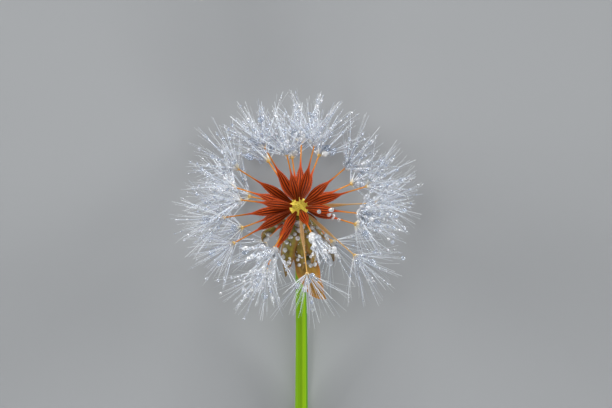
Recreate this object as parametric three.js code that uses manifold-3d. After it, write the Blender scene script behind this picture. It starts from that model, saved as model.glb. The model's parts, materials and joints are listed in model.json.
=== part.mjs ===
// A small dandelion seed head, partly blown, picked with a short stem and laid down.
// Millimetres. +Z is up from the surface that it lies on, and +Y runs from the stem to the
// top of the head. The head is built round the middle of its receptacle and then moved, so
// that the origin is on the surface below the middle of the whole part.
import * as THREE from 'three';
import { mergeVertices } from 'three/addons/utils/BufferGeometryUtils.js';
import Module from 'manifold-3d';

const wasm = await Module();
wasm.setup();

// Driving dimensions. Lengths are in millimetres, angles in degrees.
const HEAD_HEIGHT = 9.5; // middle of the receptacle above the surface
const SEED_REACH = 8.6; // middle of the receptacle to the foot of a pappus
const GAP = 0.05; // clear space between pieces that touch

const RECEPTACLE = { radius: 1.08, underside: 0.75, sides: 20, rings: 10 };

// The body of a seed from its seat outwards, as [distance, half width].
const ACHENE_BODY = [[0, 0.18], [1.2, 0.4], [2.3, 0.54], [3.3, 0.36], [4.5, 0.12]];
const ACHENE = { flatness: 0.75, ribs: 8, ribDepth: 0.07, beakRadius: 0.08, collar: 0.3 };
const UNRIPE_WIDTH = 0.42; // a thin unripe seed against a full one

// The foot of a pappus from the beak outwards, as [radius, distance].
const PAPPUS_FOOT = [[0.2, 0], [0.5, 0.28], [0.42, 0.5]];
const PAPPUS = { top: 0.62, root: 0.15, sides: 8, bristles: 18, cap: 60 };
const LEAST_OUTWARD = 0.25; // wet tufts fall away from the middle: a bristle's least lean that way
const BRISTLE = { radius: 0.09, sides: 3, shortest: 6.2, longest: 6.9 };
// How bristles are spread: the least angle between two, the first turn at random, how much
// that grows with each new try, and the tries.
const SPREAD = { apart: 11, jitter: 6, growth: 2, tries: 14 };

const CUP = { start: 0.8, height: 0.55, topRadius: 0.8, lowRadius: 0.72, sides: 16 };
const BRACT = { thickness: 0.6, drop: 0.28, root: 0.65, bend: 1.42, stations: 7 };
// A bract's width along its length t: root + swell * sin(180 * (from + span * t^belly)).
const BRACT_OUTLINE = { root: 0.25, swell: 0.75, from: 0.05, span: 0.9 };

const STEM = { topRadius: 0.58, endRadius: 0.76, sides: 14, stations: 14 };
// The corners of the Bezier curve that the stem follows, from the middle of the head.
const STEM_PATH = [[0.02, -1.34, -0.54], [0.35, -10, -4.6], [0.3, -17, -8], [0.25, -27, -8.8]];
const STEM_BORE = { radius: 0.42, depth: 3, sides: 10 };

// Where each seed points: [turn about +Z from +X, lift above the level of the head], and the
// half angle of its tuft where it isn't the usual one.
const RIPE_SEEDS = [
  [148, 19], [163, -26], [168, -47], [173, 40], [188, 0], [209, 12],
  [239, 52], [242, 25], [313, -51], [343, -38], [354, 40], [17, 22],
  [40, 36], [69, -42], [76, 33], [88, -30], [103, 46], [98, -48],
  [120, 24], [124, -42], [296, 67, 26], [24, -40], [200, -36], [225, -50],
];
const UNRIPE_SEEDS = [[277, 29], [319, 15], [3, 5]];

// Each bract: its place round the stem (0 is +X, 90 is up), how far its tip stands from the
// stem's axis, how far down the stem it hangs, and its width. Its path aims past a point that
// stands hug of the tip's distance from the axis, curl of the way down. A swing moves the tip
// on round the stem, a twist turns the blade on the way to the tip, and a belly above 1 moves
// its widest place towards the tip.
const BRACTS = [
  { turn: 185, out: 4.4, down: 4.5, width: 1.6, twist: 60 },
  { turn: 128, out: 3.0, down: 7.8, width: 1.9 },
  { turn: 88, out: 2.5, down: 7.0, width: 1.4 },
  { turn: 53, out: 2.6, down: 7.0, width: 1.4 },
  { turn: 18, out: 4.0, down: 6.6, width: 1.9, twist: -55, belly: 1.3 },
  { turn: -92, out: 1.9, down: 6.4, width: 1.4 },
  { turn: -168, out: 2.7, down: 6.2, width: 1.4, twist: -40 },
  { turn: 84, out: 4.3, down: 10.4, width: 2.4, hug: 0.24, curl: 1, swing: -34, belly: 1.2 },
];

const UP = new THREE.Vector3(0, 0, 1);
const GOLDEN_ANGLE = Math.PI * (3 - Math.sqrt(5));
const radians = THREE.MathUtils.degToRad;

// A small repeatable random generator: the same seed gives the same draws.
function randomFrom(seed) {
  let state = seed;
  return () => {
    state = (state + 0x6d2b79f5) | 0;
    let mixed = Math.imul(state ^ (state >>> 15), 1 | state);
    mixed = (mixed + Math.imul(mixed ^ (mixed >>> 7), 61 | mixed)) ^ mixed;
    return ((mixed ^ (mixed >>> 14)) >>> 0) / 4294967296;
  };
}

// A closed three.js geometry as a solid that can be joined and cut.
function toSolid(geometry) {
  const bare = geometry.clone();
  bare.deleteAttribute('normal');
  bare.deleteAttribute('uv');
  const merged = mergeVertices(bare, 1e-4);
  const corners = Array.from(merged.index.array);
  const kept = [];
  for (let i = 0; i < corners.length; i += 3) {
    const [a, b, c] = corners.slice(i, i + 3);
    if (a !== b && b !== c && c !== a) kept.push(a, b, c);
  }
  return new wasm.Manifold(new wasm.Mesh({
    numProp: 3,
    vertProperties: new Float32Array(merged.attributes.position.array),
    triVerts: new Uint32Array(kept),
  }));
}

function toGeometry(solid) {
  const mesh = solid.getMesh();
  const geometry = new THREE.BufferGeometry();
  geometry.setAttribute('position', new THREE.BufferAttribute(mesh.vertProperties, 3));
  geometry.setIndex(new THREE.BufferAttribute(mesh.triVerts, 1));
  geometry.computeVertexNormals();
  return geometry;
}

// Solids fused into one body.
function joined(solids) {
  return toGeometry(solids.reduce((whole, next) => whole.add(next)));
}

// Moves every corner of a geometry by a rule.
function reshape(geometry, rule) {
  const position = geometry.attributes.position;
  const point = new THREE.Vector3();
  for (let i = 0; i < position.count; i += 1) {
    point.fromBufferAttribute(position, i);
    rule(point);
    position.setXYZ(i, point.x, point.y, point.z);
  }
  return geometry;
}

// A piece turned from its own axes (+Y along it) to a direction, and set at a place. Its wide
// side lies level.
function placing(direction, place) {
  const side = new THREE.Vector3().crossVectors(direction, UP).normalize();
  const face = new THREE.Vector3().crossVectors(side, direction);
  return new THREE.Matrix4().makeBasis(side, direction, face).setPosition(place);
}

function seedDirection([turn, lift]) {
  const level = new THREE.Vector3(Math.cos(radians(turn)), Math.sin(radians(turn)), 0);
  return level.multiplyScalar(Math.cos(radians(lift))).setZ(Math.sin(radians(lift)));
}

// Straight pieces that a bristle keeps clear of, each with its radius.
const inTheWay = [];

function keepClear(start, end, radius) {
  inTheWay.push({ line: new THREE.Line3(start.clone(), end.clone()), radius });
}

function isClear(line, radius, others) {
  return others.every((other) => {
    const room = radius + other.radius + GAP;
    return line.distanceSqToLine3(other.line) > room * room;
  });
}

const matte = (color, roughness) => new THREE.MeshStandardMaterial({
  color, roughness, metalness: 0,
});

const MATERIALS = {
  stem: matte(0x74a016, 0.45),
  receptacle: matte(0xc6ae27, 0.7),
  bracts: matte(0x7d7a2c, 0.75),
  ripe: matte(0x973a17, 0.55),
  unripe: matte(0xb08a4c, 0.65),
  pappus: matte(0xd9dfe2, 0.4),
};

const head = new THREE.Group();

function addPiece(name, geometry, material) {
  const mesh = new THREE.Mesh(geometry, material);
  mesh.name = name;
  head.add(mesh);
  return mesh;
}

// The stem, bent along its path, hollow at its cut end, and flat where it meets the surface.
const stemPath = new THREE.CubicBezierCurve3(
  ...STEM_PATH.map((point) => new THREE.Vector3(...point)),
);
const stemDown = stemPath.getTangent(0);

function stemRadius(t) {
  return THREE.MathUtils.lerp(STEM.topRadius, STEM.endRadius, t);
}

function makeStem() {
  const rod = new THREE.CylinderGeometry(1, 1, 1, STEM.sides, STEM.stations);
  const frame = (t) => placing(stemPath.getTangent(t), stemPath.getPoint(t));
  reshape(rod, (point) => {
    const t = point.y + 0.5;
    point.set(point.x * stemRadius(t), 0, point.z * stemRadius(t)).applyMatrix4(frame(t));
    point.z = Math.max(point.z, -HEAD_HEIGHT);
  });
  const { radius, depth, sides } = STEM_BORE;
  const bore = new THREE.CylinderGeometry(radius, radius, 2 * depth, sides);
  bore.applyMatrix4(frame(1));
  return toGeometry(toSolid(rod).subtract(toSolid(bore)));
}

// The dome that the seeds stand on, cut flat where it sits on the cup of bracts.
function makeReceptacle() {
  const { radius, underside, sides, rings } = RECEPTACLE;
  const lowest = Math.asin(-underside / radius);
  const profile = [new THREE.Vector2(0, -underside)];
  for (let i = 0; i <= rings; i += 1) {
    const angle = THREE.MathUtils.lerp(lowest, Math.PI / 2, i / rings);
    const across = i === rings ? 0 : radius * Math.cos(angle);
    profile.push(new THREE.Vector2(across, radius * Math.sin(angle)));
  }
  return toGeometry(toSolid(new THREE.LatheGeometry(profile, sides)));
}

// A direction square to the stem, by its turn round the stem.
function aroundStem(turn) {
  const level = new THREE.Vector3().crossVectors(stemDown, UP).normalize().negate();
  return level.applyAxisAngle(stemDown, radians(turn));
}

function bractPath({ turn, out, down, hug = 1, curl = 0.62, swing = 0 }) {
  const at = (along, away, aim) => (
    stemDown.clone().multiplyScalar(along).addScaledVector(aroundStem(aim), away)
  );
  return new THREE.CubicBezierCurve3(
    at(CUP.start + BRACT.drop, BRACT.root, turn),
    at(CUP.start + 2 * BRACT.drop, BRACT.bend, turn),
    at(curl * down, hug * out, turn),
    at(down, out, turn + swing),
  );
}

// One bract: a strip whose width swells and narrows along its path.
function makeBract(bract) {
  const path = bractPath(bract);
  const outward = aroundStem(bract.turn);
  const { twist = 0, belly = 1 } = bract;
  const { root, swell, from, span } = BRACT_OUTLINE;
  const strip = new THREE.BoxGeometry(1, 1, BRACT.thickness, 2, BRACT.stations, 1);
  return toSolid(reshape(strip, (point) => {
    const t = point.y + 0.5;
    const along = path.getTangent(t);
    const across = new THREE.Vector3().crossVectors(along, outward).normalize();
    across.applyAxisAngle(along, radians(twist * THREE.MathUtils.smoothstep(t, 0, 1)));
    const through = new THREE.Vector3().crossVectors(across, along);
    const width = bract.width * (root + swell * Math.sin(Math.PI * (from + span * t ** belly)));
    const centre = path.getPoint(t);
    const shift = across.multiplyScalar(point.x * width).addScaledVector(through, point.z);
    point.copy(centre).add(shift);
  }));
}

function makeBracts() {
  const cup = new THREE.CylinderGeometry(CUP.lowRadius, CUP.topRadius, CUP.height, CUP.sides);
  cup.translate(0, CUP.start + CUP.height / 2, 0);
  cup.applyMatrix4(placing(stemDown, new THREE.Vector3()));
  return joined([toSolid(cup), ...BRACTS.map(makeBract)]);
}

// A seed: a ribbed, slightly flattened spindle that runs out into its beak.
function makeAchene(width) {
  const length = SEED_REACH - RECEPTACLE.radius - 2 * GAP;
  const profile = [
    new THREE.Vector2(0, 0),
    ...ACHENE_BODY.map(([distance, half]) => new THREE.Vector2(half * width, distance)),
    new THREE.Vector2(ACHENE.beakRadius, length),
    new THREE.Vector2(0, length),
  ];
  const lathe = new THREE.LatheGeometry(profile, 2 * ACHENE.ribs);
  return toGeometry(toSolid(reshape(lathe, (point) => {
    const angle = Math.atan2(point.x, point.z);
    const rib = 1 + ACHENE.ribDepth * Math.cos(ACHENE.ribs * angle);
    point.set(point.x * rib, point.y, point.z * rib * ACHENE.flatness);
  })));
}

// A straight bristle from a root, bent level where it would pass below the surface.
function bristleLine(root, direction, length) {
  const tip = root.clone().addScaledVector(direction, length);
  if (tip.z < -HEAD_HEIGHT) {
    const drop = -HEAD_HEIGHT - root.z;
    const level = new THREE.Vector3(direction.x, direction.y, 0);
    level.setLength(Math.sqrt(length ** 2 - drop ** 2));
    tip.copy(root).add(level).setZ(-HEAD_HEIGHT);
  }
  return new THREE.Line3(root.clone(), tip);
}

function alongLine(line) {
  return line.delta(new THREE.Vector3()).normalize();
}

// Two bristles from one foot are fused only at their roots.
function isApart(line, others) {
  const along = alongLine(line);
  return others.every((other) => alongLine(other).angleTo(along) > radians(SPREAD.apart));
}

// The bristles of one pappus stand evenly over a cap round its axis. Each is turned a little
// at random, and again until it is clear of every other piece.
function bristleLines(direction, cap, random) {
  const foot = placing(direction, direction.clone().multiplyScalar(SEED_REACH));
  const root = new THREE.Vector3(0, PAPPUS.root, 0).applyMatrix4(foot);
  const spread = 1 - Math.cos(radians(cap));
  const outward = direction.clone().setZ(0).normalize();
  const start = random() * Math.PI * 2;
  const lines = [];
  for (let i = 0; i < PAPPUS.bristles; i += 1) {
    for (let attempt = 0; attempt < SPREAD.tries; attempt += 1) {
      const shake = radians(SPREAD.jitter + SPREAD.growth * attempt);
      const fromAxis = Math.acos(1 - spread * (i + 0.5) / PAPPUS.bristles);
      const tilt = fromAxis + (random() - 0.5) * shake;
      const turn = start + i * GOLDEN_ANGLE + (random() - 0.5) * shake;
      const length = THREE.MathUtils.lerp(BRISTLE.shortest, BRISTLE.longest, random());
      const aim = new THREE.Vector3().setFromSphericalCoords(1, tilt, turn).transformDirection(foot);
      aim.addScaledVector(outward, Math.max(0, LEAST_OUTWARD - aim.dot(outward))).normalize();
      const line = bristleLine(root, aim, length);
      if (isClear(line, BRISTLE.radius, inTheWay) && isApart(line, lines)) {
        lines.push(line);
        break;
      }
    }
  }
  return lines;
}

function makeBristle(line) {
  const length = line.distance();
  const cone = new THREE.ConeGeometry(BRISTLE.radius, length, BRISTLE.sides);
  cone.translate(0, length / 2, 0);
  return toSolid(cone.applyMatrix4(placing(alongLine(line), line.start)));
}

function makePappus(direction, lines) {
  const profile = [
    new THREE.Vector2(0, 0),
    ...PAPPUS_FOOT.map(([radius, distance]) => new THREE.Vector2(radius, distance)),
    new THREE.Vector2(0, PAPPUS.top),
  ];
  const foot = new THREE.LatheGeometry(profile, PAPPUS.sides);
  foot.applyMatrix4(placing(direction, direction.clone().multiplyScalar(SEED_REACH)));
  return joined([toSolid(foot), ...lines.map(makeBristle)]);
}

// Assembly.
addPiece('stem', makeStem(), MATERIALS.stem);
addPiece('bracts', makeBracts(), MATERIALS.bracts);

const dome = addPiece('receptacle', makeReceptacle(), MATERIALS.receptacle);
dome.quaternion.setFromRotationMatrix(placing(stemDown.clone().negate(), new THREE.Vector3()));

for (let i = 0; i < STEM.stations; i += 1) {
  const [start, end] = [i, i + 1].map((step) => stemPath.getPoint(step / STEM.stations));
  keepClear(start, end, stemRadius(1));
}
for (const bract of BRACTS) {
  const points = bractPath(bract).getPoints(BRACT.stations);
  points.slice(1).forEach((point, i) => keepClear(points[i], point, bract.width / 2));
}

const fullAchene = makeAchene(1);
const thinAchene = makeAchene(UNRIPE_WIDTH);
const seeds = [
  ...RIPE_SEEDS.map((aim) => ({ aim, geometry: fullAchene, material: MATERIALS.ripe })),
  ...UNRIPE_SEEDS.map((aim) => ({ aim, geometry: thinAchene, material: MATERIALS.unripe })),
];
const bodyEnd = RECEPTACLE.radius + ACHENE_BODY[ACHENE_BODY.length - 1][0];
const widest = Math.max(...ACHENE_BODY.map(([, half]) => half));

seeds.forEach((seed, i) => {
  seed.number = String(i + 1).padStart(2, '0');
  seed.direction = seedDirection(seed.aim);
  const along = (distance) => seed.direction.clone().multiplyScalar(distance);
  const mesh = addPiece(`achene_${seed.number}`, seed.geometry, seed.material);
  mesh.applyMatrix4(placing(seed.direction, along(RECEPTACLE.radius + GAP)));
  keepClear(along(RECEPTACLE.radius), along(bodyEnd), widest);
  keepClear(along(bodyEnd), along(SEED_REACH - ACHENE.collar), ACHENE.beakRadius);
});

// The feet of all the pappi are kept clear before any bristle is placed.
const feet = seeds.map(({ direction }) => ({
  line: new THREE.Line3(
    direction.clone().multiplyScalar(SEED_REACH + PAPPUS_FOOT[1][1]),
    direction.clone().multiplyScalar(SEED_REACH + PAPPUS.top),
  ),
  radius: PAPPUS_FOOT[1][0],
}));

seeds.forEach(({ aim, number, direction }, i) => {
  const others = feet.filter((foot, j) => j !== i);
  inTheWay.push(...others);
  const lines = bristleLines(direction, aim[2] ?? PAPPUS.cap, randomFrom(i + 1));
  inTheWay.splice(inTheWay.length - others.length, others.length);
  lines.forEach((line) => keepClear(line.start, line.end, BRISTLE.radius));
  addPiece(`pappus_${number}`, makePappus(direction, lines), MATERIALS.pappus);
});

const box = new THREE.Box3().setFromObject(head);
const middle = box.getCenter(new THREE.Vector3());
head.position.set(-middle.x, -middle.y, -box.min.z);

const part = new THREE.Group();
part.add(head);

export default part;
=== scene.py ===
"""A small wet dandelion seed head, picked with a short stem and lying on a pale surface.

Metres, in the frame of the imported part: +Z up, +Y from the cut stem to the top of the head. Each
piece is a surface worked out in numpy on rings of corners, placed round the matching solid.
"""
from collections import namedtuple
import json
import math
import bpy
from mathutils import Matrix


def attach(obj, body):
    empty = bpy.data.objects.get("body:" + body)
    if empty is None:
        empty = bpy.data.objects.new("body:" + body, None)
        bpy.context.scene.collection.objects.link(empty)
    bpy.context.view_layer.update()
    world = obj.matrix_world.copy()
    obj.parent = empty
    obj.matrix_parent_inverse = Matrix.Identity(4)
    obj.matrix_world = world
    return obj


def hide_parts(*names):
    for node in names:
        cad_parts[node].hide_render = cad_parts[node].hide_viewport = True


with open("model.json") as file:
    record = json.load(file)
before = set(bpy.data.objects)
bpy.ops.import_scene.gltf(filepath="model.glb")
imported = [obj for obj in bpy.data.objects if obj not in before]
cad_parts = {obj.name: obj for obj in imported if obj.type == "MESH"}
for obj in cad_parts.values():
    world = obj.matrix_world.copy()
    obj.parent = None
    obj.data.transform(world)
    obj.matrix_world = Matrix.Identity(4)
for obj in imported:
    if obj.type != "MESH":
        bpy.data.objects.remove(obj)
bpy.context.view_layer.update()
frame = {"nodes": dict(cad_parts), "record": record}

from types import SimpleNamespace

import bpy
import numpy as np

MM = 0.001

# The photograph's frame, and how the head stands in it.
PHOTO_WIDTH = 612
PHOTO_HEIGHT = 408
HEAD_PIXEL = (299, 207)  # the middle of the head, from the picture's top left corner
PIXEL = 0.1163 * MM  # what one pixel covers at the middle of the head
CAMERA_DISTANCE = 300 * MM
SENSOR_WIDTH = 36  # in the camera's own millimetres

# The seed, from its seat outwards.
SEAT_GAP = 0.05 * MM
SEAT_RADIUS = 0.18 * MM
BODY_LENGTH = 4.5 * MM
BODY_HALF_WIDTH = 0.51 * MM
BODY_SWELL = 1.6  # how sharply the body swells towards its middle
BODY_FLATNESS = 0.75
BODY_RIBS = 10
GROOVE_DEPTH = 0.3  # between the ribs, as a share of the radius
RIB_BREADTH = 0.7  # the power of the cosine that shapes a rib
RIB_WANDER = 0.1  # how far the ribs turn to and fro, in radians
WANDER_PACE = 1.3  # this and the next two in radians for each millimetre along the body
TOOTH_PACE = 20
WRINKLE_PACE = 9
RIB_FADES = (0.1, 0.12)  # how soon they fade at the seat and the shoulder, as shares of the body
TOOTH_HEIGHT = 0.05 * MM
TOOTHED = (0.74, 0.13)  # where the teeth are, and how wide the stretch, as shares of the body
WRINKLE_HEIGHT = 0.012  # as a share of the radius
UNRIPE_WIDTH = 0.42
NECK_RADIUS = 0.13 * MM
BEAK_RADIUS = 0.075 * MM
BEAK_START = 0.8  # where the neck begins to narrow, as a share of the body
BEAK_TAPER = 1.4 * MM
BEAK_FULLNESS = 0.6  # how near the beak of a thin seed comes to a full one's

# The tuft: strands of bristles that the water binds, and the loose hairs that leave them.
ROOT_HEIGHT = 0.15 * MM  # where the bristles meet, above the beak's end
SHORTEST_GUIDE = 3 * MM  # a corner of the solid tuft further than this from the root is a tip
STRAND_STEPS = 15
STRAND_SIDES = 5
STRAND_RADIUS = 0.05 * MM
STRAND_TIP = 0.016 * MM
STRAND_BOW = 0.18 * MM
STRAND_SHORTENING = 0.3  # the most that a strand is shorter than its bristle
STRAND_DRAW = 0.9  # how far the water draws soaked strands to their neighbours
STRAND_WIDTHS = (0.55, 1.15)  # of dry and of soaked strands, against their radius
FILM_RADIUS = 0.075 * MM
FILM_REACH = 0.16  # how far water creeps up a strand, as a share of it
HAIRS_PER_STRAND = 2
STRAY_HAIRS = 10
HAIR_STEPS = 11
HAIR_SIDES = 3
HAIR_RADIUS = 0.024 * MM
HAIR_TIP = 0.009 * MM
HAIR_OPENINGS = (1.35 * MM, 0.75 * MM)  # how far hairs leave dry and soaked strands at most
HAIR_START = 0.03 * MM  # how far beside its strand a hair begins

# The small disc that the bristles stand on, from the beak outwards: [height, radius].
FOOT_PROFILE = np.array([
    [0, 0.06], [0, 0.1], [0.08, 0.17], [0.18, 0.24], [0.28, 0.24], [0.38, 0.17], [0.44, 0.06],
]) * MM
FOOT_SIDES = 16

# The water, with its radii: beads strung along the strands, larger drops between them, lumps round
# a soaked foot, and pearls that lie on some seeds and on the bracts.
BEADS_PER_STRAND = 13
BEADED_STRETCH = (0.16, 0.82)  # where on a strand the beads begin, and over how much of it they go
BEAD_RADIUS = 0.115 * MM
BEAD_SPREAD = 0.45  # of the radius's logarithm
SMALLEST_BEAD = 0.05 * MM
LARGEST_BEAD = 0.28 * MM
FEWEST_DROPS = 3
MORE_DROPS = 9  # on a soaked tuft
SMALLEST_DROP = 0.16 * MM
DROP_GROWTH = 0.34 * MM
LARGEST_DROP = 0.44 * MM
LUMPS = 6
SMALLEST_LUMP = 0.28 * MM
LUMP_BRIGHTNESS = 0.95
SEED_PEARLS = 7
SEED_PEARL_RADII = (0.17 * MM, 0.3 * MM)
BRACT_PEARLS = 50
BRACT_PEARL_RADII = (0.06 * MM, 0.32 * MM)
PALEST = 0.85  # even a drop that catches the light stays a little clear
BEAD_RINGS = (6, 8)  # the rings of corners on a bead, and the sides of each ring
DROP_RINGS = (10, 14)
BRACT_PEARL_RINGS = (8, 12)

# How wet a tuft is, from 0 to 1, and how much more so straight up and to the right, and how much
# less in a drier stretch.
WETNESS = 0.62
WETTER_UP = 0.38
WETTER_RIGHT = 0.06
DRYNESS = 0.25
DRIEST = 0.1
NEAR_SIZE = 1.5  # of the drops on the tufts that stand up in front of the stem
NEAR_HEIGHT = 0.3  # their directions point up by more than this

# Where water lies thick or thin: the bearing of a seed in degrees, 0 to the right and 90 up, and
# how wide the stretch round it is.
DRIER = [(216, 16), (277, 12)]
LUMPED = (296, 4)  # the tuft in front of the bracts
BEADED = (241, 6)  # the tuft at the lower left
SOAKED = [(354, 3), (173, 3)]  # the tufts with water round their feet
PEARLED = (346, 9)  # the seeds with pearls on them

# The receptacle. The pits that seeds left are angles seen from the middle of its dome, in radians.
DOME_UNDERSIDE = 0.75 * MM
PIT_DEPTH = 0.06 * MM
PIT_WIDTH = 0.06
RIM_HEIGHT = 0.04 * MM
RIM_PLACE = 0.12
RIM_WIDTH = 0.045
BARE_SEATS = 130
SEAT_SPREAD = 1.55  # how far over the dome they go, as 1 - cos of the angle from its top
SEAT_SHAKE = 0.3
DOME_RANDOM = 5

# The stem, and its Bezier corners from the middle of the head, as in the solids.
STEM_PATH = np.array([
    [0.02, -1.34, -0.54], [0.35, -10, -4.6], [0.3, -17, -8], [0.25, -27, -8.8],
]) * MM
STEM_TOP_RADIUS = 0.58 * MM
STEM_END_RADIUS = 0.76 * MM
STEM_BORE_RADIUS = 0.42 * MM
STEM_BORE_DEPTH = 2.8 * MM
STEM_RIBS = 14
STEM_RIB_HEIGHT = 0.018  # as a share of the radius
# A pale band of painted highlight along the stem's top, a little right of its middle, and a deep
# band of painted shade along its right side.
PAINTED_HIGHLIGHT_STRIPE = (112, 0.07)  # its turn round the stem in degrees, and its width
PAINTED_SHADE_STRIPE = (166, 0.09)

# The cup and the bracts that grow from it, as in the solids. The blades are thinner.
CUP_START = 0.8 * MM
CUP_HEIGHT = 0.55 * MM
CUP_RADIUS = 0.78 * MM
CUP_LOBES = 12
CUP_LOBE_HEIGHT = 0.03
BRACT_DROP = 0.28 * MM
BRACT_ROOT = 0.65 * MM
BRACT_BEND = 1.42 * MM
BRACT_THICKNESS = 0.12 * MM
BRACT_WAVE = 0.1 * MM
BRACT_VEIN_HEIGHT = 0.025 * MM
BRACT_ARCH = 0.22  # how far a blade's edges bend back, as a share of its half width
BRACT_FULLNESS = 0.57  # a blade's half width against the width below
BRACT_RANDOM = 77

# The bracts in degrees and millimetres: place round the stem, how far the tip stands out, how far
# down it hangs, width, twist of the blade, and how far towards the tip its belly is.
Bract = namedtuple("Bract", "turn out down width twist belly")
BRACTS = [
    Bract(185, 4.4, 4.5, 1.6, 60, 1),
    Bract(128, 3.0, 7.8, 1.9, 0, 1),
    Bract(88, 2.5, 7.0, 1.4, 0, 1),
    Bract(53, 2.6, 7.0, 1.4, 0, 1),
    Bract(18, 4.0, 6.6, 1.9, -55, 1.3),
    Bract(-92, 1.9, 6.4, 1.4, 0, 1),
    Bract(-168, 2.7, 6.2, 1.4, -40, 1),
    Bract(84, 4.3, 10.4, 2.4, 0, 1.2),
]
# The share of the tip's distance and of the way down that a bract's path aims past, and how far its
# tip moves round the stem. The long bract has its own.
BRACT_AIM = (1, 0.62, 0)
LONG_BRACT_AIM = (0.24, 1, -34)
LONG_BRACT = 9  # a bract that hangs lower than this is the long one

# The surface that the head lies on, and the light round it.
FLOOR_HALF = 2.0
ROOM_COLOUR = (0.92, 0.96, 1.0, 1.0)
ROOM_STRENGTH = 0.16
# Each soft light: its place from the middle of the head, its size and its power in watts.
LIGHTS = {
    "left_softbox": ((-1.1, 0.3, 0.26), 0.45, 11.5),
    "right_softbox": ((1.1, 0.4, 0.26), 0.45, 11.5),
    "far_softbox": ((0.05, 1.2, 0.32), 0.45, 11.5),
    "near_softbox": ((0.3, -1.1, 0.34), 0.45, 8.0),
    "overhead_softbox": ((-0.12, 0.1, 0.42), 0.12, 0.5),
}

GOLDEN_ANGLE = math.pi * (3 - math.sqrt(5))
UP = np.array([0.0, 0.0, 1.0])


# Numbers and directions.

def unit(vectors):
    """Each vector divided by its length."""
    return vectors / np.linalg.norm(vectors, axis=-1, keepdims=True)


def mix(first, second, share):
    """A straight blend from first at share 0 to second at share 1."""
    return first + (second - first) * share


def ease(low, high, values):
    """0 below low, 1 above high, and between them 3t^2 - 2t^3 of the share t of the way."""
    share = np.clip((values - low) / (high - low), 0, 1)
    return share * share * (3 - 2 * share)


def bump(values, middle, width):
    """The bell exp(-((v - middle) / width)^2)."""
    return np.exp(-((values - middle) / width) ** 2)


def turns(sides):
    """Even turns round a ring, in radians."""
    return np.arange(sides) * 2 * math.pi / sides


def cross_axes(along):
    """Two unit directions square to each direction: its level side, and the face above it."""
    tilted = np.abs(along[..., 2:]) > 0.98
    reference = np.where(tilted, np.array([1.0, 0.0, 0.0]), UP)
    side = unit(np.cross(along, reference))
    return side, np.cross(side, along)


def spokes(axis, turn):
    """The unit directions square to an axis at these turns: side * cos(a) + face * sin(a)."""
    side, face = cross_axes(axis)
    return side * np.cos(turn)[:, None] + face * np.sin(turn)[:, None]


def bezier(guides, share):
    """The cubic Bezier curve: its points and unit directions at each share from 0 to 1."""
    t = np.asarray(share, float)[..., None]
    a, b, c, d = guides
    points = (1 - t) ** 3 * a + 3 * (1 - t) ** 2 * t * b + 3 * (1 - t) * t * t * c + t ** 3 * d
    slopes = (1 - t) ** 2 * (b - a) + 2 * (1 - t) * t * (c - b) + t * t * (d - c)
    return points, unit(slopes)


def along_paths(paths, which, share):
    """The points at these shares of the lengths of the chosen paths."""
    steps = share * (paths.shape[1] - 1)
    low = np.minimum(steps.astype(int), paths.shape[1] - 2)
    return mix(paths[which, low], paths[which, low + 1], (steps - low)[:, None])


def on_floor(points, room):
    """Points raised to stand at least this far above the surface."""
    raised = points.copy()
    raised[..., 2] = np.maximum(points[..., 2], room)
    return raised


# Surfaces. A skin is its points, its faces, and its marks: one number a point for the materials.

def skin(rings, **marks):
    """The closed surface through rings of corners, of shape (shapes, rows, sides, 3): each ring
    joins the next, and a point in the middle of the first and the last ring closes the ends."""
    shapes, rows, sides, _ = rings.shape
    block = rows * sides + 2

    def with_ends(grid):
        """One row for each corner, and then for the middle of each shape's first and last ring."""
        flat = grid.reshape(shapes, rows * sides, -1)
        ends = [grid[:, 0].mean(1), grid[:, -1].mean(1)]
        return np.concatenate([flat, np.stack(ends, 1)], 1).reshape(shapes * block, -1)

    start = np.arange(shapes)[:, None, None] * block
    row = np.arange(rows - 1)[None, :, None] * sides
    column = np.arange(sides)[None, None, :]
    here = start + row + column
    beside = start + row + (column + 1) % sides
    quads = np.stack([here, here + sides, beside + sides, beside], -1).reshape(-1, 4)

    first, after = (start + column)[:, 0], (start + (column + 1) % sides)[:, 0]
    low_end = np.broadcast_to(start[:, 0] + rows * sides, first.shape)
    last = (rows - 1) * sides
    caps = [
        np.stack([low_end, first, after], -1),
        np.stack([low_end + 1, after + last, first + last], -1),
    ]
    numbers = {
        name: with_ends(np.broadcast_to(grid, rings.shape[:3])[..., None])[:, 0]
        for name, grid in marks.items()
    }
    return with_ends(rings), [quads, np.concatenate(caps).reshape(-1, 3)], numbers


def joined(skins):
    """Several skins with the same marks as one."""
    counts = np.cumsum([0] + [len(points) for points, _, _ in skins])
    points = np.concatenate([points for points, _, _ in skins])
    faces = [part + shift for (_, parts, _), shift in zip(skins, counts) for part in parts]
    numbers = {
        name: np.concatenate([marks[name] for _, _, marks in skins])
        for name in skins[0][2]
    }
    return points, faces, numbers


def tubes(paths, radii, sides):
    """Rings of corners round each path: at each point a circle square to the path."""
    side, face = cross_axes(unit(np.gradient(paths, axis=1)))
    turn = turns(sides)
    across = side[:, :, None] * np.cos(turn)[:, None] + face[:, :, None] * np.sin(turn)[:, None]
    return paths[:, :, None] + radii[:, :, None, None] * across


def placed(name, data):
    """A new object in the scene."""
    made = bpy.data.objects.new(name, data)
    bpy.context.scene.collection.objects.link(made)
    return made


def piece(name, surface, finish, slot, *nodes):
    """A smooth mesh object of a skin, riding on the part, that stands for the CAD nodes named."""
    points, faces, numbers = surface
    mesh = bpy.data.meshes.new(name)
    mesh.from_pydata(points.tolist(), [], [face for part in faces for face in part.tolist()])
    for mark, values in numbers.items():
        attribute = mesh.attributes.new(mark, "FLOAT", "POINT")
        attribute.data.foreach_set("value", values.astype(np.float32))
    mesh.polygons.foreach_set("use_smooth", np.ones(len(mesh.polygons), bool))
    mesh.materials.append(finish)
    made = placed(name, mesh)
    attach(made, "root")
    if nodes:
        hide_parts(*nodes)


# Materials.

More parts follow.
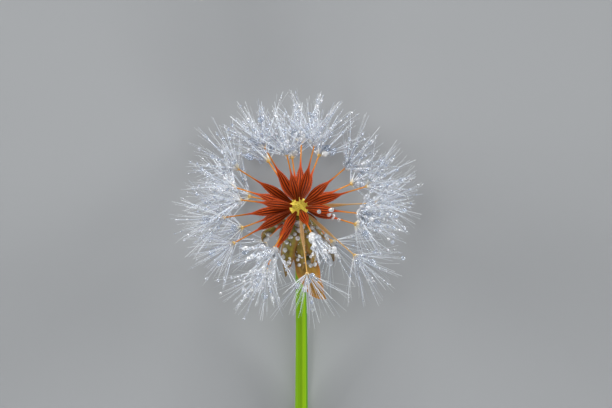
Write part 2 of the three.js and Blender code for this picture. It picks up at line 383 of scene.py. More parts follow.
class Value:
    """One output of a shader node. Sums, products and powers of it add Math nodes."""

    def __init__(self, finish, socket):
        self.finish = finish
        self.socket = socket

    def calculate(self, operation, first, second):
        """A Math node for two numbers, or outputs of nodes."""
        return self.finish.node("ShaderNodeMath", {"operation": operation}, {0: first, 1: second})

    def __add__(self, other):
        return self.calculate("ADD", self, other)

    def __sub__(self, other):
        return self.calculate("SUBTRACT", self, other)

    def __rsub__(self, other):
        return self.calculate("SUBTRACT", other, self)

    def __mul__(self, other):
        return self.calculate("MULTIPLY", self, other)

    def __pow__(self, other):
        return self.calculate("POWER", self, other)

    __radd__ = __add__
    __rmul__ = __mul__


class Finish:
    """A material made of nodes."""

    def __init__(self, name):
        self.material = bpy.data.materials.new(name)
        self.material.use_nodes = True
        self.tree = self.material.node_tree
        self.tree.nodes.clear()

    def node(self, kind, settings=None, sockets=None, output=0):
        """Adds a node: its settings first, then the value or link of each socket."""
        made = self.tree.nodes.new(kind)
        for name, value in (settings or {}).items():
            if name == "stops":
                fill_ramp(made.color_ramp, value)
            else:
                setattr(made, name, value)
        for name, value in (sockets or {}).items():
            if isinstance(value, Value):
                self.tree.links.new(value.socket, made.inputs[name])
            else:
                made.inputs[name].default_value = value
        return Value(self, made.outputs[output]) if made.outputs else None

    def marks(self, *names):
        """Numbers that the mesh holds at each point."""
        kind = "ShaderNodeAttribute"
        return [self.node(kind, {"attribute_name": name}, output="Fac") for name in names]

    def noise(self, size, detail=3.0, stretch=None):
        """Cloudy noise from 0 to 1 with grains of about this size, in the part's own frame."""
        place = self.node("ShaderNodeTexCoord", output="Object")
        if stretch:
            place = self.node("ShaderNodeMapping", None, {"Vector": place, "Scale": stretch})
        sockets = {"Vector": place, "Scale": 1 / size, "Detail": detail}
        return self.node("ShaderNodeTexNoise", None, sockets)

    def ramp(self, factor, *stops):
        """A colour that runs through the stops, each a place from 0 to 1 and a colour."""
        return self.node("ShaderNodeValToRGB", {"stops": stops}, {0: factor})

    def blend(self, factor, first, second):
        """A mix of two colours."""
        settings = {"data_type": "RGBA", "clamp_factor": True}
        return self.node("ShaderNodeMix", settings, {0: factor, 6: first, 7: second}, output=2)

    def relief(self, height, depth):
        """A bump of this depth where the height goes from 0 to 1."""
        sockets = {"Height": height, "Distance": depth, "Strength": 1.0}
        return self.node("ShaderNodeBump", None, sockets)

    def shader(self, **sockets):
        """The Principled shader with these sockets."""
        named = {name.replace("_", " "): value for name, value in sockets.items()}
        return self.node("ShaderNodeBsdfPrincipled", None, named)

    def finished(self, shader):
        """The material with this shader as its surface."""
        self.node("ShaderNodeOutputMaterial", None, {"Surface": shader})
        return self.material


def fill_ramp(ramp, stops):
    """Gives a colour ramp these stops, each a place and a colour."""
    while len(ramp.elements) < len(stops):
        ramp.elements.new(1.0)
    for element, (place, colour) in zip(ramp.elements, stops):
        element.position = place
        element.color = colour


def rgb(red, green, blue):
    """A colour of 0 to 255 on screen as the linear colour that shaders take."""
    screen = np.array([red, green, blue]) / 255
    linear = np.where(screen <= 0.04045, screen / 12.92, ((screen + 0.055) / 1.055) ** 2.4)
    return (*linear.tolist(), 1.0)


def seed_finish(name, groove, ridge_colour, neck, beak_end):
    """Bright ribs over grooves darkened as painted shade, mottled, darker at the seat with painted
    shade where the seeds crowd at the dome, and a beak that changes colour towards its tuft."""
    finish = Finish(name)
    along, ridge, tint = finish.marks("along", "ridge", "tint")
    mottle = finish.noise(0.4 * MM, 4.0)
    body = finish.blend(mottle * 0.45 + tint * 0.3 - 0.1, ridge_colour, groove)
    # Painted shade: the grooves between the ribs go to the groove colour.
    ribbed = finish.blend(ridge, groove, body)
    beak = finish.ramp(along, (0.0, neck), (0.62, neck), (0.8, beak_end))
    colour = finish.blend((along - 0.5) * 8, ribbed, beak)
    # Painted shade towards the seat, where the seeds crowd round the dome.
    shaded_at_seat = finish.blend((0.3 - along) * 1.5, colour, groove)
    grain = finish.noise(0.06 * MM, 2.0)
    return finish.finished(finish.shader(
        Base_Color=shaded_at_seat, Roughness=0.34 + 0.25 * mottle, Normal=finish.relief(grain, 0.006 * MM),
        Coat_Weight=0.03, Coat_Roughness=0.15, Specular_IOR_Level=0.12,
    ))


def tuft_finish():
    """Pale wet bristles, warm where they leave the foot and bluish white beyond it, with some of
    them in a deeper blue grey."""
    finish = Finish("wet_bristle")
    along, tint = finish.marks("along", "tint")
    colour = finish.ramp(
        along, (0.0, rgb(206, 168, 96)), (0.05, rgb(224, 212, 184)), (0.16, rgb(240, 243, 247)),
        (0.6, rgb(236, 242, 250)), (1.0, rgb(246, 249, 253)),
    )
    shaded = finish.blend(tint - 0.3, colour, rgb(98, 112, 145))
    return finish.finished(finish.shader(
        Base_Color=shaded, Roughness=0.22, IOR=1.45, Coat_Weight=0.4, Coat_Roughness=0.08,
    ))


def water_finish():
    """Clear water, and pale where the mark says that a drop catches the light."""
    finish = Finish("water")
    clear = finish.shader(
        Base_Color=rgb(226, 235, 248), Roughness=0.0, IOR=1.38, Transmission_Weight=0.85,
        Coat_Weight=0.6, Coat_Roughness=0.02,
    )
    pale = finish.shader(
        Base_Color=rgb(244, 244, 244), Roughness=0.05, IOR=1.33, Transmission_Weight=0.4,
        Coat_Weight=1.0, Coat_Roughness=0.02,
    )
    [lit] = finish.marks("lit")
    return finish.finished(finish.node("ShaderNodeMixShader", None, {0: lit, 1: clear, 2: pale}))


def dome_finish():
    """Mottled yellow, with painted shade darkening the pits."""
    finish = Finish("yellow_receptacle")
    [pit] = finish.marks("pit")
    mottle = finish.noise(0.22 * MM, 4.0)
    base = finish.blend(mottle, rgb(238, 204, 40), rgb(252, 238, 104))
    # Painted shade in the pits.
    colour = finish.blend(pit * 0.6, base, rgb(184, 140, 22))
    grain = finish.noise(0.06 * MM)
    return finish.finished(finish.shader(
        Base_Color=colour, Roughness=0.4 + 0.2 * mottle, Normal=finish.relief(grain, 0.012 * MM),
    ))


def stem_finish():
    """Green with a pale band of painted highlight along its top and a deep band of painted shade
    along its right side, painted shade between its ribs, and pale at the cut.
    """
    finish = Finish("green_stem")
    ridge, stripe, shade, cut, along = finish.marks("ridge", "stripe", "shade", "cut", "along")
    mottle = finish.noise(1.2 * MM, 3.0, (1.0, 0.25, 1.0))
    green = finish.ramp(
        along, (0.0, rgb(104, 128, 16)), (0.3, rgb(112, 158, 4)), (1.0, rgb(124, 172, 6)),
    )
    # Painted highlight in a pale band along the top, then painted shade in a deep band along the
    # right side.
    banded = finish.blend(stripe * 0.6, green, rgb(156, 200, 22))
    banded = finish.blend(shade * 0.8, banded, rgb(58, 134, 10))
    # Painted shade between the ribs, mixed with mottled tone.
    grooved = finish.blend((1 - ridge) * 0.16 + mottle * 0.25, banded, rgb(84, 118, 8))
    colour = finish.blend(cut, grooved, rgb(200, 212, 150))
    grain = finish.noise(0.09 * MM)
    return finish.finished(finish.shader(
        Base_Color=colour, Roughness=0.34 + 0.15 * mottle, Normal=finish.relief(grain, 0.01 * MM),
        Specular_IOR_Level=0.2,
    ))


def bract_finish():
    """Olive blades with paler veins, brown blotches and brown margins; the dry part of the long
    one is tan."""
    finish = Finish("olive_bract")
    across, along, vein, dry = finish.marks("across", "along", "vein", "dry")
    mottle = finish.noise(0.5 * MM, 4.0)
    green = finish.ramp(
        along, (0.0, rgb(106, 118, 14)), (0.6, rgb(126, 118, 16)), (1.0, rgb(116, 72, 18)),
    )
    veined = finish.blend(vein * 0.4, green, rgb(176, 168, 48))
    edged = finish.blend(across ** 4.0, veined, rgb(150, 88, 30))
    blotched = finish.blend(mottle ** 2.0 * 1.5, edged, rgb(72, 46, 16))
    tan = finish.blend(mottle * 1.6 - 0.3, rgb(182, 130, 28), rgb(108, 74, 20))
    tan_veined = finish.blend(vein * 0.4, tan, rgb(200, 160, 74))
    tan_edged = finish.blend(across ** 4.0, tan_veined, rgb(188, 122, 34))
    colour = finish.blend(dry, blotched, tan_edged)
    grain = finish.noise(0.08 * MM)
    return finish.finished(finish.shader(
        Base_Color=colour, Roughness=0.38 + 0.2 * mottle, Normal=finish.relief(grain, 0.015 * MM),
        Coat_Weight=0.3, Coat_Roughness=0.1,
    ))


def floor_finish():
    """A plain pale surface, hardly uneven in tone."""
    finish = Finish("pale_floor")
    shade = finish.noise(30 * MM, 2.0)
    colour = finish.blend(shade, rgb(156, 158, 160), rgb(160, 162, 164))
    return finish.finished(finish.shader(Base_Color=colour, Roughness=0.8, Specular_IOR_Level=0.2))


# The solids that the pieces are placed by.

def corners(node):
    """The separate corner points of a CAD node."""
    mesh = frame["nodes"][node].data
    places = np.empty(len(mesh.vertices) * 3, np.float32)
    mesh.vertices.foreach_get("co", places)
    return np.unique(places.astype(float).reshape(-1, 3).round(7), axis=0)


def ball_middle(points):
    """The point c that is equally far from all points: |p|^2 = 2 p.c + k, by least squares."""
    table = np.column_stack([2 * points, np.ones(len(points))])
    return np.linalg.lstsq(table, (points ** 2).sum(1), rcond=None)[0][:3]


def head_middle():
    """The middle of the receptacle's dome, without the corner in its flat underside."""
    dome = corners("receptacle")
    away = np.linalg.norm(dome - ball_middle(dome), axis=1)
    return ball_middle(dome[away > 0.85 * away.max()])


HEAD = head_middle()
DOME_RADIUS = np.linalg.norm(corners("receptacle") - HEAD, axis=1).max()
SLOT_OF = {row["node"]: row["material_slot"] for row in frame["record"]["subparts"]}
STEM_DOWN = unit(STEM_PATH[1] - STEM_PATH[0])


def beak_end(node):
    """The middle of the outer end of a seed's beak."""
    points = corners(node)
    away = np.linalg.norm(points - HEAD, axis=1)
    return points[away > away.max() - 0.1 * MM].mean(0)


def around_stem(turn):
    """The direction square to the stem at this turn in degrees: 0 is to the right, 90 is up."""
    side, face = cross_axes(STEM_DOWN)
    return -side * math.cos(math.radians(turn)) + face * math.sin(math.radians(turn))


# Seeds.

def seed_skin(direction, length, width, rng):
    """A seed and its beak. With s the share of the body, the half width is the beak's, and goes
    from it to the widest by (4 s (1 - s))^1.6 and to the seat's by (1 - s)^3. The ribs are
    |cos(5a)|^0.7 of the turn a, which wanders along the body, and fade at both its ends by a
    square root. Small teeth stand on them near the shoulder, and wrinkles run round the body."""
    body_rows, beak_rows, sides = 64, 22, 60
    far = np.concatenate([
        np.linspace(0, BODY_LENGTH, body_rows), np.linspace(BODY_LENGTH, length, beak_rows)[1:],
    ])
    share = np.clip(far / BODY_LENGTH, 0, 1)
    swell = (4 * share * (1 - share)) ** BODY_SWELL
    tapered = ease(BEAK_START * BODY_LENGTH, BODY_LENGTH + BEAK_TAPER, far)
    beak = mix(NECK_RADIUS, BEAK_RADIUS, tapered) * mix(width, 1, BEAK_FULLNESS)
    half = beak + (BODY_HALF_WIDTH * width - beak) * swell
    half = half + (SEAT_RADIUS * width - beak) * (1 - share) ** 3

    turn = turns(sides)
    wander = RIB_WANDER * np.sin(far / MM * WANDER_PACE + rng.uniform(0, 6))[:, None]
    rib = np.abs(np.cos(BODY_RIBS / 2 * (turn[None] + wander))) ** RIB_BREADTH
    low_fade, high_fade = RIB_FADES
    ribbed = np.sqrt(np.clip(np.minimum(share / low_fade, (1 - share) / high_fade), 0, 1))[:, None]
    tooth = np.clip(np.sin(far / MM * TOOTH_PACE), 0, 1)[:, None] * bump(share, *TOOTHED)[:, None]
    wrinkle = 1 + WRINKLE_HEIGHT * np.sin(far / MM * WRINKLE_PACE + rng.uniform(0, 6))[:, None]
    grooved = 1.04 - GROOVE_DEPTH * ribbed * (1 - rib)
    radius = half[:, None] * wrinkle * grooved + TOOTH_HEIGHT * tooth * rib ** 4 * width

    side, face = cross_axes(direction)
    seat = HEAD + direction * (DOME_RADIUS + SEAT_GAP)
    bow = rng.uniform(-0.1, 0.1, 2) * MM * (share ** 2 - share)[:, None]
    centre = seat + direction * far[:, None] + side * bow[:, :1] + face * bow[:, 1:]
    rings = centre[:, None] + side * (radius * np.cos(turn))[..., None]
    rings = rings + face * (radius * BODY_FLATNESS * np.sin(turn))[..., None]
    return skin(
        rings[None], along=(far / length)[None, :, None], ridge=mix(1, rib ** 3, ribbed)[None],
        tint=rng.uniform(0, 1),
    )


def make_seed(node, end, direction, finish, rng):
    """The seed whose beak ends there. An unripe one is thin."""
    length = np.linalg.norm(end - HEAD) - DOME_RADIUS - SEAT_GAP
    width = UNRIPE_WIDTH if SLOT_OF[node] == "achene_tan" else 1.0
    piece(f"{node}_skin", seed_skin(direction, length, width, rng), finish, SLOT_OF[node], node)


# Tufts.

def tuft_water(direction):
    """How water lies on a seed's tuft: how wet it is, from 0.1 to 1, and so how thickly beads and
    drops stand on it, how large and pale they are, how soaked its foot is, how far out its drops
    go, and the angle over which it pulls strands together. The upper tufts are the wettest. Those
    that stand up in front of the stem have the largest drops."""
    bearing = math.degrees(math.atan2(direction[1], direction[0])) % 360

    def near(stretch):
        """1 in the middle of a stretch, and 0 far off."""
        return bump(bearing, *stretch)

    dry = sum(DRYNESS * near(stretch) for stretch in DRIER)
    soaked = sum(near(stretch) for stretch in SOAKED)
    lumped, beaded = near(LUMPED), near(BEADED)
    wet = WETNESS + WETTER_UP * direction[1] + WETTER_RIGHT * direction[0] - dry
    wet = float(np.clip(wet + 0.3 * lumped + 0.3 * beaded, DRIEST, 1))
    return SimpleNamespace(
        wet=wet,
        beads=wet - 0.3 * lumped,
        size=NEAR_SIZE if direction[2] > NEAR_HEIGHT and direction[1] < 0 else 1.0,
        bright=0.35 + 0.4 * lumped + 0.2 * beaded,
        soaked=wet + 0.4 * soaked + 0.5 * lumped,
        reach=0.5 - 0.35 * lumped,
        pull=0.3 + 0.2 * (lumped + beaded),
        pearls=int(round(SEED_PEARLS * near(PEARLED))),
    )


def strand_paths(root, tips, water, rng):
    """The middle lines of a tuft's strands: straight from the root to each tip, bowed sideways by
    0.18 mm * sin(180 s). Water draws neighbours together: each direction goes part of the way to
    the mean of all of them, weighted by exp(-(angle / pull)^2). Each is shorter than its bristle
    by 0.3 of a random share squared, but not where the tip lies on the surface."""
    lines = tips - root
    reach = np.linalg.norm(lines, axis=1, keepdims=True)
    aims = lines / reach
    raised = ease(0, MM, tips[:, 2:])
    reach = reach * (1 - STRAND_SHORTENING * rng.uniform(0, 1, reach.shape) ** 2 * raised)
    apart = np.arccos(np.clip(aims @ aims.T, -1, 1))
    drawn = unit(bump(apart, 0, water.pull) @ aims)
    lines = unit(mix(aims, drawn, STRAND_DRAW * water.wet)) * reach
    side, face = cross_axes(unit(lines))
    bow = rng.uniform(-1, 1, (2, len(lines), 1, 1)) * STRAND_BOW
    s = np.linspace(0, 1, STRAND_STEPS)[None, :, None]
    arch = np.sin(math.pi * s)
    bowed = side[:, None] * bow[0] * arch + face[:, None] * bow[1] * arch
    return on_floor(root + lines[:, None] * s + bowed, 1.5 * STRAND_TIP)


def hair_paths(paths, wet, rng):
    """The loose hairs. Most follow a strand and leave it past the share g, by
    ((s - g) / (1 - g))^1.5 of their own opening; the others run between two strands."""
    s = np.linspace(0, 1, HAIR_STEPS)
    steps = s * (STRAND_STEPS - 1)
    low = np.minimum(steps.astype(int), STRAND_STEPS - 2)
    lines = mix(paths[:, low], paths[:, low + 1], (steps - low)[None, :, None])
    followers = np.repeat(lines, HAIRS_PER_STRAND, axis=0)
    pairs = rng.integers(0, len(lines), (STRAY_HAIRS, 2))
    nearness = rng.uniform(0.25, 0.75, (STRAY_HAIRS, 1, 1))
    between = mix(lines[pairs[:, 0]], lines[pairs[:, 1]], nearness)
    lines = np.concatenate([followers, between])

    count = len(lines)
    side, face = cross_axes(unit(lines[:, -1] - lines[:, 0]))
    turn = rng.uniform(0, 2 * math.pi, (count, 1))
    aside = side * np.cos(turn) + face * np.sin(turn)
    gather = rng.uniform(0.05, 0.25 + 0.4 * wet, (count, 1))
    opening = rng.uniform(0.2, 1.0, (count, 1)) * mix(*HAIR_OPENINGS, wet)
    leaving = opening * np.clip((s - gather) / (1 - gather), 0, 1) ** 1.5
    reach = rng.uniform(0.8, 1.04, (count, 1, 1))
    start = lines[:, :1]
    paths = start + (lines - start) * reach + aside[:, None] * (leaving + HAIR_START)[..., None]
    return on_floor(paths, HAIR_TIP)


def foot_skin(foot, direction):
    """The small disc that the bristles stand on: its profile of radius over height, turned."""
    height, radius = FOOT_PROFILE.T
    path = foot + direction * height[:, None]
    across = spokes(direction, turns(FOOT_SIDES))
    return skin((path[:, None] + radius[:, None, None] * across)[None], along=0.0, tint=0.0)


def tuft_skin(foot, direction, paths, wet, rng):
    """The strands, the loose hairs and the foot. A strand's radius runs evenly to its tip, plus
    the film that water draws up from the foot, 0.075 mm * exp(-(s / 0.16)^2) when soaked."""
    s = np.linspace(0, 1, STRAND_STEPS)
    thick = mix(STRAND_RADIUS, STRAND_TIP, s) * mix(*STRAND_WIDTHS, wet)
    thick = thick + FILM_RADIUS * wet * bump(s, 0, FILM_REACH)
    radii = thick * rng.uniform(0.8, 1.2, (len(paths), 1))
    tint = rng.uniform(0, 1, (len(paths), 1, 1))
    strands = skin(tubes(paths, radii, STRAND_SIDES), along=s[None, :, None], tint=tint)
    hairs = hair_paths(paths, wet, rng)
    s = np.linspace(0, 1, HAIR_STEPS)
    radii = np.broadcast_to(mix(HAIR_RADIUS, HAIR_TIP, s), hairs.shape[:2])
    tint = rng.uniform(0, 1, (len(hairs), 1, 1))
    loose = skin(tubes(hairs, radii, HAIR_SIDES), along=s[None, :, None], tint=tint)
    return joined([strands, loose, foot_skin(foot, direction)])


# Water.

def drops_skin(centres, radii, lit, rows, sides):
    """Round drops: each is a ball of rings at even angles from pole to pole."""
    polar = (np.arange(rows) + 0.5) / rows * math.pi
    turn = -turns(sides)
    ball = np.stack([
        np.sin(polar)[:, None] * np.cos(turn), np.sin(polar)[:, None] * np.sin(turn),
        np.broadcast_to(-np.cos(polar)[:, None], (rows, sides)),
    ], -1)
    rings = centres[:, None, None] + radii[:, None, None, None] * ball
    return skin(rings, lit=np.clip(lit, 0, PALEST)[:, None, None])


def bead_drops(paths, water, rng):
    """Beads strung along the strands at nearly even steps, some of them missing. Their radii are
    spread as exp of a normal draw, and shrink by 0.4 of the share along the strand."""
    count = len(paths)
    which = np.repeat(np.arange(count), BEADS_PER_STRAND)
    slot = np.tile(np.arange(BEADS_PER_STRAND), count)
    start, stretch = BEADED_STRETCH
    share = start + stretch * (slot + rng.uniform(0.1, 0.9, len(slot))) / BEADS_PER_STRAND
    crowded = np.repeat(rng.uniform(0.15, 1.1, count), BEADS_PER_STRAND) * water.beads
    kept = rng.uniform(0, 1, len(slot)) < crowded
    radii = BEAD_RADIUS * np.exp(rng.normal(0, BEAD_SPREAD, len(slot))) * (1.2 - 0.4 * share)
    radii = np.clip(radii * water.size, SMALLEST_BEAD, LARGEST_BEAD)[kept]
    centres = along_paths(paths, which[kept], share[kept])
    centres = centres + unit(rng.normal(0, 1, centres.shape)) * radii[:, None] * 0.4
    lit = water.bright + rng.uniform(-0.4, 0.4, len(radii))
    return drops_skin(on_floor(centres, radii), radii, lit, *BEAD_RINGS)


def large_drops(paths, water, rng):
    """The larger drops that hang between the strands, and the lumps of water round a soaked foot.
    Most are small and near the foot: the radii and places go by powers of random shares."""
    count = int(round(FEWEST_DROPS + MORE_DROPS * water.wet ** 2 * water.size))
    which = rng.integers(0, len(paths), count)
    share = 0.1 + water.reach * rng.uniform(0, 1, count) ** 1.4
    radii = (SMALLEST_DROP + DROP_GROWTH * rng.uniform(0, 1, count) ** 2) * water.size
    radii = np.minimum(radii, LARGEST_DROP)
    lumps = rng.integers(0, len(paths), int(round(LUMPS * ease(0.8, 1, water.soaked))))
    which = np.concatenate([which, lumps])
    share = np.concatenate([share, rng.uniform(0.05, 0.14, len(lumps))])
    radii = np.concatenate([radii, rng.uniform(SMALLEST_LUMP, LARGEST_DROP, len(lumps))])
    lit = water.bright + rng.uniform(-0.6, 0.1, count)
    lit = np.concatenate([lit, np.full(len(lumps), LUMP_BRIGHTNESS)])
    centres = along_paths(paths, which, share)
    return drops_skin(on_floor(centres, radii), radii, lit, *DROP_RINGS)


def seed_pearls(direction, count, rng):
    """Pearls of water on the upper face of a seed. At the share s of the body they lie at the
    beak's radius plus the widest half width times (4 s (1 - s))^1.6."""
    share = rng.uniform(0.45, 1.15, count)
    turn = rng.uniform(-0.9, 0.9, count)[:, None]
    radii = rng.uniform(*SEED_PEARL_RADII, count)
    half = BODY_HALF_WIDTH * np.clip(4 * share * (1 - share), 0, 1) ** BODY_SWELL + BEAK_RADIUS
    side, face = cross_axes(direction)
    aside = side * np.sin(turn) + face * np.cos(turn)
    far = DOME_RADIUS + SEAT_GAP + BODY_LENGTH * share
    centres = HEAD + direction * far[:, None] + aside * (half + 0.5 * radii)[:, None]
    lit = rng.uniform(0.5, 1, count)
    return drops_skin(on_floor(centres, radii), radii, lit, *DROP_RINGS)


def bract_drops(rng):
    """Pearls of water on both faces of the bracts, the long one's only on its green part. Most are
    small: the radii go by a random share to the power of 1.8."""
    centres, radii = [], []
    for bract in BRACTS:
        t = rng.uniform(0.12, 0.55 if bract.down > LONG_BRACT else 0.95, BRACT_PEARLS)
        centre, across, through = bract_axes(bract, t)
        size = mix(*BRACT_PEARL_RADII, rng.uniform(0, 1, BRACT_PEARLS) ** 1.8)
        shift = rng.uniform(-0.4, 0.4, (BRACT_PEARLS, 1)) * bract.width * MM
        face = np.where(rng.uniform(0, 1, BRACT_PEARLS) < 0.5, -1.0, 1.0)
        centres.append(centre + across * shift + through * (face * size * 0.7)[:, None])
        radii.append(size)
    lit = rng.uniform(0.4, 1, BRACT_PEARLS * len(BRACTS))
    return drops_skin(np.concatenate(centres), np.concatenate(radii), lit, *BRACT_PEARL_RINGS)


# The dome, the stem and the bracts.

def bare_seats():
    """The directions of the seats that lost their seeds: a golden angle after one another, evenly
    over the dome, and each a little off its place."""
    shaken = np.random.default_rng(DOME_RANDOM).normal(0, SEAT_SHAKE, (2, BARE_SEATS))
    order = np.arange(BARE_SEATS) + 0.5
    even = np.clip(order + 3 * shaken[0], 0, BARE_SEATS) / BARE_SEATS
    polar = np.arccos(1 - even * SEAT_SPREAD)
    level = spokes(-STEM_DOWN, order * GOLDEN_ANGLE + 0.3 * shaken[1])
    return -STEM_DOWN * np.cos(polar)[:, None] + level * np.sin(polar)[:, None]


def dome_skin(seats):
    """The receptacle: a ball with a flat underside. Round each seat, at an angle d, it sinks by
    0.06 mm * exp(-(d/0.06)^2), inside a rim of 0.04 mm * exp(-((d - 0.12) / 0.045)^2)."""
    rows, sides = 110, 150
    polar = np.linspace(0.02, math.acos(-DOME_UNDERSIDE / DOME_RADIUS), rows)
    level = spokes(-STEM_DOWN, turns(sides))
    rays = -STEM_DOWN * np.cos(polar)[:, None, None] + level * np.sin(polar)[:, None, None]
    apart = np.arccos(np.clip(rays.reshape(-1, 3) @ seats.T, -1, 1)).min(1).reshape(rows, sides)
    pit = bump(apart, 0, PIT_WIDTH)
    radius = DOME_RADIUS - PIT_DEPTH * pit + RIM_HEIGHT * bump(apart, RIM_PLACE, RIM_WIDTH)
    rings = HEAD + rays * radius[..., None]
    return skin(rings[None, ::-1], pit=pit[None, ::-1])


def stem_skin():
    """A hollow stem along its Bezier curve: the outside down to the cut, then back up the bore.
    The outside's radius runs evenly from 0.58 to 0.76 mm, times 1 + 0.018 cos(14a) for its ribs.
    The stem is flat where it meets the surface. The painted highlight and the painted shade are
    each a band at the turn b that marks exp(-((cos(a - b) - 1) / width)^2)."""
    rows, bore_rows, sides = 150, 12, 84
    t = np.linspace(0, 1, rows)
    depth = STEM_BORE_DEPTH / np.linalg.norm(STEM_PATH[3] - STEM_PATH[0])
    share = np.concatenate([t, [1.0, 1.0], np.linspace(1, 1 - depth, bore_rows)])
    outside = np.arange(len(share)) < rows
    radius = mix(STEM_TOP_RADIUS, STEM_END_RADIUS, share)
    radius[rows] = mix(STEM_BORE_RADIUS, STEM_END_RADIUS, 0.6)  # on the flat of the cut
    radius[rows + 1:] = STEM_BORE_RADIUS
    cut = np.concatenate([ease(0.992, 1.0, t) * 0.5, np.ones(len(share) - rows)])
    centre, along = bezier(STEM_PATH + HEAD, share)
    side, face = cross_axes(along)
    turn = turns(sides)
    rib = np.cos(STEM_RIBS * turn)[None] * np.where(outside, 1.0, 0.0)[:, None]
    radius = radius[:, None] * (1 + STEM_RIB_HEIGHT * rib)
    rings = centre[:, None] + side[:, None] * (radius * np.cos(turn))[..., None]
    rings = rings + face[:, None] * (radius * np.sin(turn))[..., None]
    # The bands of painted highlight and painted shade round the stem.
    stripe, shade = (
        bump(np.cos(turn - math.radians(place)), 1, width)[None, None]
        for place, width in (PAINTED_HIGHLIGHT_STRIPE, PAINTED_SHADE_STRIPE)
    )
    return skin(
        on_floor(rings, 0)[None], ridge=(0.5 + 0.5 * rib)[None], stripe=stripe, shade=shade,
        cut=cut[None, :, None], along=share[None, :, None],
    )


def bract_path(bract):
    """The Bezier corners of a bract's middle line, as in the solids."""
    hug, curl, swing = LONG_BRACT_AIM if bract.down > LONG_BRACT else BRACT_AIM
    turn = bract.turn
    out = bract.out * MM
    down = bract.down * MM
    steps = [
        (CUP_START + BRACT_DROP, BRACT_ROOT, turn), (CUP_START + 2 * BRACT_DROP, BRACT_BEND, turn),
        (curl * down, hug * out, turn), (down, out, turn + swing),
    ]
    return np.array([HEAD + STEM_DOWN * far + around_stem(aim) * away for far, away, aim in steps])


def bract_axes(bract, t):
    """A bract's middle line at these shares, and its directions across and through the blade,
    which twist by their angle times 3t^2 - 2t^3."""
    centre, along = bezier(bract_path(bract), t)
    across = unit(np.cross(along, around_stem(bract.turn)))
    angle = math.radians(bract.twist) * ease(0, 1, t)[:, None]
    turned = across * np.cos(angle) + np.cross(along, across) * np.sin(angle)
    return centre, turned, np.cross(turned, along)


def bract_skin(bract, rng):
    """A thin blade. Its half width is 0.57 of the bract's width times 0.25 + 0.75 sin(180 (0.05 +
    0.9 t^belly)), and sqrt(1 - 0.99 t^8) rounds its tip. Its section is a lens, bent back by 0.22
    of the half width times x^2, its veins are ripples of cos(11x), and its edges wave by 0.1 mm.
    The lower part of the long bract is dry."""
    rows, sides = 60, 40
    t = np.linspace(0, 1, rows)
    centre, across, through = bract_axes(bract, t)
    outline = 0.25 + 0.75 * np.sin(math.pi * (0.05 + 0.9 * t ** bract.belly))
    half = BRACT_FULLNESS * bract.width * MM * outline * np.sqrt(1 - 0.99 * t ** 8)
    turn = turns(sides)
    x = np.cos(turn)
    phase = t[:, None] * rng.uniform(12, 18) + rng.uniform(0, 6)
    wave = BRACT_WAVE * np.sin(phase + 2 * x) * x ** 2
    vein = 0.5 + 0.5 * np.cos(x * 11)
    thick = 0.5 * BRACT_THICKNESS * np.sin(turn) * (1 + 0.5 * (1 - np.abs(x)))
    lift = thick[None] + BRACT_VEIN_HEIGHT * vein[None] + wave - BRACT_ARCH * half[:, None] * x ** 2
    edge = 1 + 0.05 * np.sin(t[:, None] * 31 + rng.uniform(0, 6)) * np.abs(x) ** 3
    rings = centre[:, None] + across[:, None] * (half[:, None] * x * edge)[..., None]
    rings = rings + through[:, None] * lift[..., None]
    dry = ease(0.5, 0.68, t)[None, :, None] if bract.down > LONG_BRACT else rng.uniform(0, 0.2)
    return skin(
        rings[None], across=np.abs(x)[None, None], along=t[None, :, None], vein=vein[None, None],
        dry=dry,
    )


def cup_skin():
    """The cup that the bracts grow from. Its radius is 0.78 mm * (1 - 0.12 t^2) *
    sin(180 (0.12 + 0.76 t))^0.25, times 1 + 0.03 cos(12a) for its lobes."""
    rows, sides = 14, 72
    t = np.linspace(0, 1, rows)
    radius = CUP_RADIUS * (1 - 0.12 * t ** 2) * np.sin(math.pi * (0.12 + 0.76 * t)) ** 0.25
    turn = turns(sides)
    centre = HEAD + STEM_DOWN * (CUP_START + CUP_HEIGHT * t)[:, None]
    wide = radius[:, None] * (1 + CUP_LOBE_HEIGHT * np.cos(CUP_LOBES * turn))
    rings = centre[:, None] + wide[..., None] * spokes(STEM_DOWN, turn)
    return skin(rings[None], across=0.0, along=0.1, vein=0.3, dry=0.1)


# Assembly.

def make_tuft(node, end, direction, bristle, water_look, rng):
    """The tuft on the end of a beak, with the water on it and on its seed."""
    foot = end + direction * SEAT_GAP
    root = foot + direction * ROOT_HEIGHT
    points = corners(node)
    tips = points[np.linalg.norm(points - root, axis=1) > SHORTEST_GUIDE]
    water = tuft_water(direction)
    paths = strand_paths(root, tips, water, rng)
    tuft = tuft_skin(foot, direction, paths, water.wet, rng)
    piece(f"{node}_hairs", tuft, bristle, SLOT_OF[node], node)
    drops = [bead_drops(paths, water, rng), large_drops(paths, water, rng)]
    if water.pearls:
        drops.append(seed_pearls(direction, water.pearls, rng))
    piece(f"{node}_drops", joined(drops), water_look, "water_drop")


def make_seeds(water_look):
    """Every seed with its tuft, each with its own random draws. Returns the seeds' directions."""
    # Each groove colour is the painted shade of the grooves and the seat, and the dark side of the
    # mottling.
    looks = {
        "achene_red": seed_finish(
            "red_seed", groove=rgb(40, 8, 2), ridge_colour=rgb(226, 88, 18),
            neck=rgb(184, 68, 12), beak_end=rgb(204, 128, 20),
        ),
        "achene_tan": seed_finish(
            "pale_seed", groove=rgb(150, 104, 56), ridge_colour=rgb(226, 190, 134),
            neck=rgb(200, 160, 104), beak_end=rgb(210, 164, 92),
        ),
    }
    bristle = tuft_finish()
    directions = []
    names = sorted(node for node in frame["nodes"] if node.startswith("achene_"))
    for number, node in enumerate(names, 1):
        rng = np.random.default_rng(number)
        end = beak_end(node)
        direction = unit(end - HEAD)
        directions.append(direction)
        make_seed(node, end, direction, looks[SLOT_OF[node]], rng)
        make_tuft(node.replace("achene", "pappus"), end, direction, bristle, water_look, rng)
    return np.array(directions)


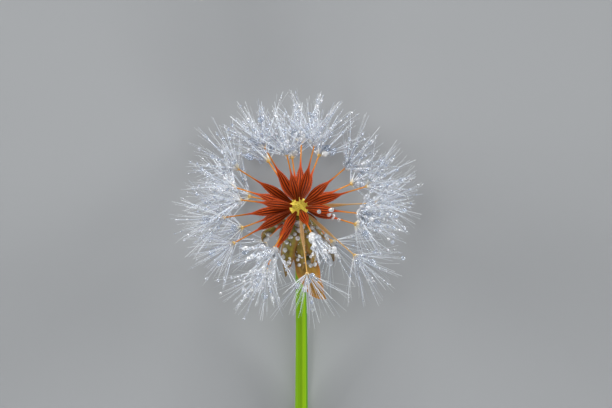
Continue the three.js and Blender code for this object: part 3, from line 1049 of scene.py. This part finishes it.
def make_middle(directions, water_look):
    """The dome with a pit at every seat, the stem, and the bracts with the water on them."""
    seats = np.concatenate([bare_seats(), directions])
    piece("receptacle_skin", dome_skin(seats), dome_finish(), "receptacle_yellow", "receptacle")
    piece("stem_skin", stem_skin(), stem_finish(), "stem_green", "stem")
    rng = np.random.default_rng(BRACT_RANDOM)
    blades = [bract_skin(bract, rng) for bract in BRACTS]
    piece("bract_blades", joined([cup_skin(), *blades]), bract_finish(), "bract_olive", "bracts")
    piece("bract_drops", bract_drops(rng), water_look, "water_drop")


def make_stage():
    """The floor, the soft light of the room, and a view that keeps strong colours as they are."""
    mesh = bpy.data.meshes.new("floor")
    edge = FLOOR_HALF
    sheet = [(-edge, -edge, 0), (edge, -edge, 0), (edge, edge, 0), (-edge, edge, 0)]
    mesh.from_pydata(sheet, [], [range(4)])
    mesh.materials.append(floor_finish())
    floor = placed("floor", mesh)

    world = bpy.data.worlds.new("soft_room")
    world.use_nodes = True
    background = world.node_tree.nodes["Background"]
    background.inputs["Color"].default_value = ROOM_COLOUR
    background.inputs["Strength"].default_value = ROOM_STRENGTH
    bpy.context.scene.world = world
    bpy.context.scene.view_settings.view_transform = "Standard"


def make_lights():
    """The square soft lights, each turned towards the head."""
    for name, (place, size, power) in LIGHTS.items():
        lamp = bpy.data.lights.new(name, "AREA")
        lamp.size = size
        lamp.energy = power
        light = placed(name, lamp)
        light.location = HEAD + np.array(place)
        away = unit(np.array(place, float))
        light.rotation_euler = (math.acos(away[2]), 0, math.atan2(away[0], -away[1]))
        light.visible_camera = False


def make_camera():
    """Straight above the head, with the head's middle at its pixel in the photograph's frame."""
    camera = bpy.data.cameras.new("camera")
    camera.sensor_width = SENSOR_WIDTH
    camera.lens = SENSOR_WIDTH * CAMERA_DISTANCE / (PHOTO_WIDTH * PIXEL)
    camera.clip_start = 0.01
    camera.clip_end = 10
    view = placed("camera", camera)
    right = (PHOTO_WIDTH / 2 - HEAD_PIXEL[0]) * PIXEL
    above = (HEAD_PIXEL[1] - PHOTO_HEIGHT / 2) * PIXEL
    view.location = HEAD + np.array([right, above, CAMERA_DISTANCE])
    bpy.context.scene.camera = view


make_camera()
make_stage()
make_lights()
clear_water = water_finish()
seed_directions = make_seeds(clear_water)
make_middle(seed_directions, clear_water)
